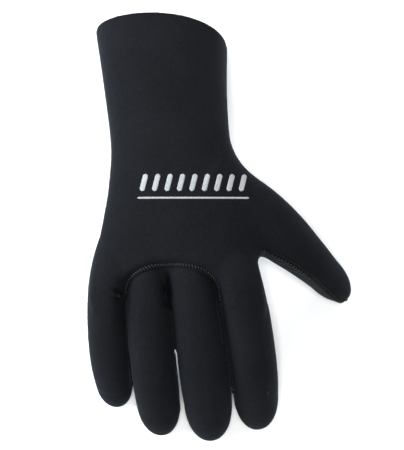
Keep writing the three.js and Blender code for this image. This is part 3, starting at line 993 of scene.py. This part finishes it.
def evenly(points, normals, pitch):
    """A line's points, outward directions and directions ahead, at an even pitch along it."""
    lengths = lengths_along(points)
    count = max(int(lengths[-1] / pitch), 2)
    places = np.linspace(0, lengths[-1], count + 1)
    found = np.stack([np.interp(places, lengths, points[:, k]) for k in range(3)], 1)
    outward = unit(np.stack([np.interp(places, lengths, normals[:, k]) for k in range(3)], 1))
    ahead = unit(np.gradient(found, axis=0))
    return found, outward, ahead


def sleeve(rings, size):
    """The faces between rings of equally many points, one ring after another."""
    faces = []
    for i in range(rings - 1):
        for j in range(size):
            k = (j + 1) % size
            faces.append((i * size + j, i * size + k, (i + 1) * size + k, (i + 1) * size + j))
    return faces


def tubes(paths, outward, radius, sides=6):
    """Round threads along paths of equally many points, as one mesh's points and faces."""
    count, steps = paths.shape[:2]
    ahead = unit(np.gradient(paths, axis=1))
    across = unit(np.cross(ahead, outward))
    up = np.cross(across, ahead)
    angles = 2 * math.pi * np.arange(sides) / sides
    ring = radius * (np.cos(angles)[:, None] * across[:, :, None] + np.sin(angles)[:, None] * up[:, :, None])
    rings = paths[:, :, None] + ring
    points = np.concatenate([rings.reshape(count, -1, 3), paths[:, :1], paths[:, -1:]], axis=1)
    faces = sleeve(steps, sides)
    ends = steps * sides
    last = (steps - 1) * sides
    caps = [(ends, (j + 1) % sides, j) for j in range(sides)]
    caps += [(ends + 1, last + j, last + (j + 1) % sides) for j in range(sides)]
    size = points.shape[1]
    all_faces = [tuple(n * size + v for v in face) for n in range(count) for face in faces + caps]
    return points.reshape(-1, 3), all_faces


def band(points, outward, ahead, half_widths, height, sunk, sides=8):
    """A closed strip with a crowned top along a line on the surface."""
    across = unit(np.cross(ahead, outward)) * half_widths[:, None]
    angles = math.pi * np.arange(sides + 1) / sides
    shape = [(math.cos(a), height * math.sin(a)) for a in angles]
    shape += [(-BAND_FOOT, -sunk), (BAND_FOOT, -sunk)]
    rings = np.stack([points + s * across + h * outward for s, h in shape], 1)
    size = len(shape)
    faces = sleeve(len(points), size)
    faces.append(tuple(range(size))[::-1])
    faces.append(tuple((len(points) - 1) * size + j for j in range(size)))
    return rings.reshape(-1, 3), faces


def joined(*meshes):
    points = np.vstack([m[0] for m in meshes])
    faces = []
    start = 0
    for m in meshes:
        faces += [tuple(start + v for v in face) for face in m[1]]
        start += len(m[0])
    return points, faces


THREAD_STEPS = 6


def crowned(across, half_width, height):
    """The height of a crowned band's top over the cloth."""
    return height * np.sqrt(np.clip(1 - (across / half_width) ** 2, 0, 1))


def threads(points, normals, rows, half_width, height, taper_reach=0.01):
    """Rows of threads over a seam, each with its material."""
    parts = []
    share = np.linspace(0, 1, THREAD_STEPS)
    for row in rows:
        places, outward, ahead = evenly(points, normals, row["pitch"])
        side_way = unit(np.cross(ahead, outward))
        across = row["start"] + (row["end"] - row["start"]) * share
        along = row["slant"] * (share - 0.5) + row["offset"] * row["pitch"]
        lift = crowned(across, half_width, height) + row["lift"] - row["sunk"] * (2 * share - 1) ** 4
        taper = end_taper(places, taper_reach)[:, None, None]
        paths = (
            places[:, None] + taper * across[None, :, None] * side_way[:, None]
            + along[None, :, None] * ahead[:, None] + taper * lift[None, :, None] * outward[:, None]
        )
        paths[..., 2] = np.maximum(paths[..., 2], row["radius"])
        mesh = tubes(paths, np.repeat(outward[:, None], THREAD_STEPS, 1), row["radius"])
        parts.append((mesh, row["material"]))
    return parts


def seam_object(name, parts, node=None):
    """One object of meshes, each with its material's name."""
    used = sorted({material for _, material in parts})
    obj = mesh_object(name, *joined(*(mesh for mesh, _ in parts)), [MATERIALS[m] for m in used])
    kinds = np.concatenate([np.full(len(mesh[1]), used.index(material)) for mesh, material in parts])
    obj.data.polygons.foreach_set("material_index", kinds.astype(np.int32))
    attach(obj, "root")
    if node is not None:
        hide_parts(node)


THREAD_COLUMNS = "material start end slant pitch offset radius lift sunk"
ARCH_HALF_WIDTH = 1.25
ARCH_HEIGHT_OVER_CLOTH = 0.75
ARCH_TAPER = 15  # how far from its ends the arch seam reaches its full width
ARCH_THREADS = table(
    THREAD_COLUMNS,
    ("thread", -1.35, 0.1, 1.0, 1.75, 0, 0.32, 0.1, 0.3),
    ("dark_thread", 0.3, 1.35, -0.8, 1.75, 0.25, 0.33, 0.08, 0.3),
)
FINE_SEAM_INSET = 2.4
FINE_SEAM_END = -122  # the y where the stitching down the middle finger ends
FINE_THREADS = table(THREAD_COLUMNS, ("thread", -0.45, 0.45, 0.6, 1.7, 0, 0.17, 0.08, 0.25))
THUMB_HALF_WIDTH = 1.0
THUMB_HEIGHT_OVER_CLOTH = 0.5
THUMB_TAPER = 3
THUMB_SEAM_SPAN = (0.47, 1.04)  # shares of the thumb's path, where past 1 is round the tip
THUMB_THREADS = table(
    THREAD_COLUMNS,
    ("thread", -0.55, 0.75, 0.5, 2.3, 0, 0.52, 0.15, 0.3),
    ("dark_thread", -2.9, -0.9, 0.9, 2.3, 0, 0.34, 0.05, 0.3),
    ("dark_thread", -2.9, -0.9, -0.9, 2.3, 0.5, 0.34, 0.05, 0.3),
)
SIDE_THREADS = table(
    THREAD_COLUMNS,
    ("dark_thread", -1.7, 1.7, 0.8, 1.9, 0, 0.26, 0.12, 0.35),
    ("dark_thread", 1.7, -1.7, 0.8, 1.9, 0.5, 0.26, 0.12, 0.35),
)
CORE_SUNK = 0.6
# A dark strip along a raised seam's outer edge: painted shade of the groove there, in the dark thread's
# material
GROOVE_SHADE_LINE = {"half_width": 0.4, "height": 0.12, "sunk": 0.3}


def end_taper(points, reach):
    """How wide a seam is at its points: narrower towards both ends."""
    lengths = lengths_along(points)
    return 0.5 + 0.5 * smooth_step(np.minimum(lengths, lengths[-1] - lengths), 0, reach)


def raised_seam(name, points, normals, rows, half_width, height, taper_reach, node):
    """A raised seam with threads laid over it and a dark strip along its outer edge, painted shade of the
    groove beside the seam.
    """
    places, outward, ahead = evenly(points, normals, SEAM_STEP)
    taper = end_taper(places, taper_reach)
    core = band(places, outward, ahead, half_width * taper, height, CORE_SUNK)
    across = unit(np.cross(ahead, outward))
    edge = places - (half_width + GROOVE_SHADE_LINE["half_width"]) * taper[:, None] * across
    edge_widths = np.full(len(edge), GROOVE_SHADE_LINE["half_width"])
    # painted shade: a dark strip where the groove beside the seam lies in shade
    groove_shade_strip = band(edge, outward, ahead, edge_widths, GROOVE_SHADE_LINE["height"], GROOVE_SHADE_LINE["sunk"], 4)
    parts = [(core, "jersey"), (groove_shade_strip, "dark_thread")]
    seam_object(name, parts + threads(points, normals, rows, half_width, height, taper_reach), node)


arch_line = knuckle_outline(SPRING_Y - KNUCKLE_SEAM_TAIL)
arch_points = np.column_stack([arch_line, np.full(len(arch_line), SEAM_DROP_HEIGHT)]) + SHIFT
arch_points, arch_normals = on_outside(dropped(arch_points))
raised_seam(
    "knuckle_seam_stitching", arch_points, arch_normals,
    ARCH_THREADS, ARCH_HALF_WIDTH, ARCH_HEIGHT_OVER_CLOTH, ARCH_TAPER, "knuckle_seam",
)

fine_y = np.linspace(SPRING_Y - KNUCKLE_SEAM_TAIL, FINE_SEAM_END, 40)
fine_x = between_fingers("middle", "index", fine_y) - FINE_SEAM_INSET
fine_line = np.column_stack([fine_x, fine_y, np.full(len(fine_y), SEAM_DROP_HEIGHT)])
fine_points, fine_normals = on_outside(dropped(fine_line + SHIFT))
seam_object("middle_finger_stitching", threads(fine_points, fine_normals, FINE_THREADS, 1, 0))


def side_line(limb, way, first, last, count=120):
    """Points near the joint along one side of a limb, and round half of its tip."""
    at = np.linspace(first, min(last, 1), count)
    found = limb.sections(at)
    points = found["centre"] + way * 0.5 * found["width"][:, None] * found["side"] - JOINT_DROP * found["up"]
    if last > 1:
        turn = np.linspace(0, 0.5 * math.pi, TIP_POINTS)[1:, None]
        end = {key: found[key][-1] for key in ("centre", "side", "along", "width", "up")}
        tip = end["centre"] + limb.dome * np.sin(turn) * end["along"] - JOINT_DROP * end["up"]
        points = np.vstack([points, tip + way * 0.5 * end["width"] * np.cos(turn) * end["side"]])
    return points + SHIFT


thumb_points, thumb_normals = on_outside(side_line(THUMB, -1, *THUMB_SEAM_SPAN), "side")
raised_seam(
    "thumb_seam_stitching", thumb_points, thumb_normals,
    THUMB_THREADS, THUMB_HALF_WIDTH, THUMB_HEIGHT_OVER_CLOTH, THUMB_TAPER, "thumb_seam",
)


def side_stitches(name, lines):
    """Zigzag overlock threads over the joints along the sides of the limbs."""
    parts = []
    for stretches in lines:
        guess = np.vstack([side_line(*stretch) for stretch in stretches])
        guess = evenly(guess, guess, SIDE_STEP)[0]
        points, normals = on_outside(guess, "side")
        close = np.linalg.norm(points - guess, axis=1) < MOST_STRAY
        start = np.argmax(close)
        parts += threads(points[start:], normals[start:], SIDE_THREADS, 1, 0)
    seam_object(name, parts)


side_stitches(
    "outer_side_stitches",
    [
        [(HAND, -1, 0, 0.7), (DIGITS["little"], -1, 0.35, 1.1)],
        [(HAND, 1, 0, 0.36), (THUMB, 1, 0.45, 1.1)],
        [(DIGITS["index"], 1, 0.4, 1.1)],
    ],
)
side_stitches(
    "finger_side_stitches",
    [[(DIGITS["little"], 1, 0.72, 1.1)], [(DIGITS["index"], -1, 0.78, 1.1)]]
    + [[(DIGITS[name], way, 0.66, 1.1)] for name in ("ring", "middle") for way in (-1, 1)],
)

# The print over the back of the hand: a row of leaning bars above a thin line
INK_LIFT = 0.07
INK_SUNK = 0.1


def printed_bar(middle, length, width, lean, rows, columns):
    """A thin pill of ink on the cloth. length runs along lean, an angle from +y towards +x."""
    t = np.linspace(-1, 1, rows)
    straight = 1 - width / length
    ends = np.clip((np.abs(t) - straight) / (1 - straight), 0, 1)
    half = 0.5 * width * np.sqrt(np.maximum(1 - ends ** 2, 0.003))
    c = np.linspace(-1, 1, columns)
    across = half[:, None] * c[None]
    ahead = 0.5 * length * t[:, None] + 0 * across
    tilt = math.radians(lean)
    x = middle[0] + across * math.cos(tilt) + ahead * math.sin(tilt)
    y = middle[1] - across * math.sin(tilt) + ahead * math.cos(tilt)
    start = np.stack([x.ravel(), y.ravel(), np.full(x.size, PRINT_DROP_HEIGHT)], 1)
    points, normals = on_outside(dropped(start))
    count = len(points)
    faces = []
    for i in range(rows - 1):
        for j in range(columns - 1):
            a = i * columns + j
            faces.append((a, a + 1, a + columns + 1, a + columns))
            faces.append((count + a, count + a + columns, count + a + columns + 1, count + a + 1))
    rim = list(range(columns))
    rim += [i * columns + columns - 1 for i in range(1, rows)]
    rim += [(rows - 1) * columns + j for j in range(columns - 2, -1, -1)]
    rim += [i * columns for i in range(rows - 2, 0, -1)]
    for a, b in zip(rim, rim[1:] + rim[:1]):
        faces.append((a, count + a, count + b, b))
    return np.vstack([points + INK_LIFT * normals, points - INK_SUNK * normals]), faces


PRINT_DROP_HEIGHT = 95.0
PRINT_MIDDLE = (14.2, -26.0)
PRINT_BARS = 9
PRINT_BAR_PITCH = 7.3
PRINT_BAR = {"length": 10.5, "width": 3.0, "lean": 14, "rows": 18, "columns": 5}
PRINT_LINE = {"length": 66.0, "width": 1.1, "lean": 90, "rows": 80, "columns": 3}
PRINT_LINE_BELOW = 9.0

print_x, print_y = PRINT_MIDDLE + SHIFT[:2]
bars = [
    printed_bar((print_x + PRINT_BAR_PITCH * (i - 0.5 * (PRINT_BARS - 1)), print_y), **PRINT_BAR)
    for i in range(PRINT_BARS)
]
bars.append(printed_bar((print_x, print_y - PRINT_LINE_BELOW), **PRINT_LINE))
printed = mesh_object("printed_bars", *joined(*bars), [MATERIALS["ink"]])
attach(printed, "root")

# Floor, light and camera
FLOOR_SIZE = 8.0
FLOOR_BELOW = 0.0002
WORLD_COLOUR = (0.97, 0.98, 1, 1)
WORLD_STRENGTH = 0.45
CAMERA_OVER = (19.2, -51.0)  # from the wrist, in millimetres
CAMERA_HEIGHT = 1.1
CAMERA_LENS = 138.67
SENSOR = 36  # like the lens, in millimetres

floor_mesh = bpy.data.meshes.new("floor")
reach = 0.5 * FLOOR_SIZE
corners = [(x * reach, y * reach, -FLOOR_BELOW) for x, y in ((-1, -1), (1, -1), (1, 1), (-1, 1))]
floor_mesh.from_pydata(corners, [], [(0, 1, 2, 3)])
floor_nodes = Nodes("pale_floor", (0.9, 0.9, 0.9), 0.9)
floor_mesh.materials.append(floor_nodes.material)
floor = bpy.data.objects.new("floor", floor_mesh)
bpy.context.scene.collection.objects.link(floor)

LIGHTS = table(
    "name place aim size power colour",
    ("overhead", (0.0, 0.0, 1.9), (0, 0, 0), 0.5, 29, (1, 1, 1)),
    ("left", (-1.25, 0.15, 0.75), (0, 0, 0.05), 0.7, 42, (0.84, 0.92, 1)),
    ("right", (1.0, 1.2, 0.35), (0, 0.05, 0.05), 0.5, 14, (0.86, 0.93, 1)),
)

for row in LIGHTS:
    data = bpy.data.lights.new(row["name"], "AREA")
    data.shape = "SQUARE"
    data.size = row["size"]
    data.energy = row["power"]
    data.color = row["colour"]
    lamp = bpy.data.objects.new(row["name"], data)
    bpy.context.scene.collection.objects.link(lamp)
    lamp.location = row["place"]
    away = np.array(row["place"]) - np.array(row["aim"])
    flat = math.hypot(away[0], away[1])
    lamp.rotation_euler = (math.atan2(flat, away[2]), 0, math.atan2(away[1], away[0]) + 0.5 * math.pi)

world = bpy.data.worlds.new("studio")
world.use_nodes = True
background = world.node_tree.nodes["Background"]
background.inputs["Color"].default_value = WORLD_COLOUR
background.inputs["Strength"].default_value = WORLD_STRENGTH
bpy.context.scene.world = world
bpy.context.scene.view_settings.view_transform = "Standard"

camera_data = bpy.data.cameras.new("camera")
camera_data.sensor_fit = "VERTICAL"
camera_data.sensor_height = SENSOR
camera_data.lens = CAMERA_LENS
camera = bpy.data.objects.new("camera", camera_data)
camera.location = (*(CAMERA_OVER + SHIFT[:2]) / METRE, CAMERA_HEIGHT)
bpy.context.scene.collection.objects.link(camera)
bpy.context.scene.camera = camera
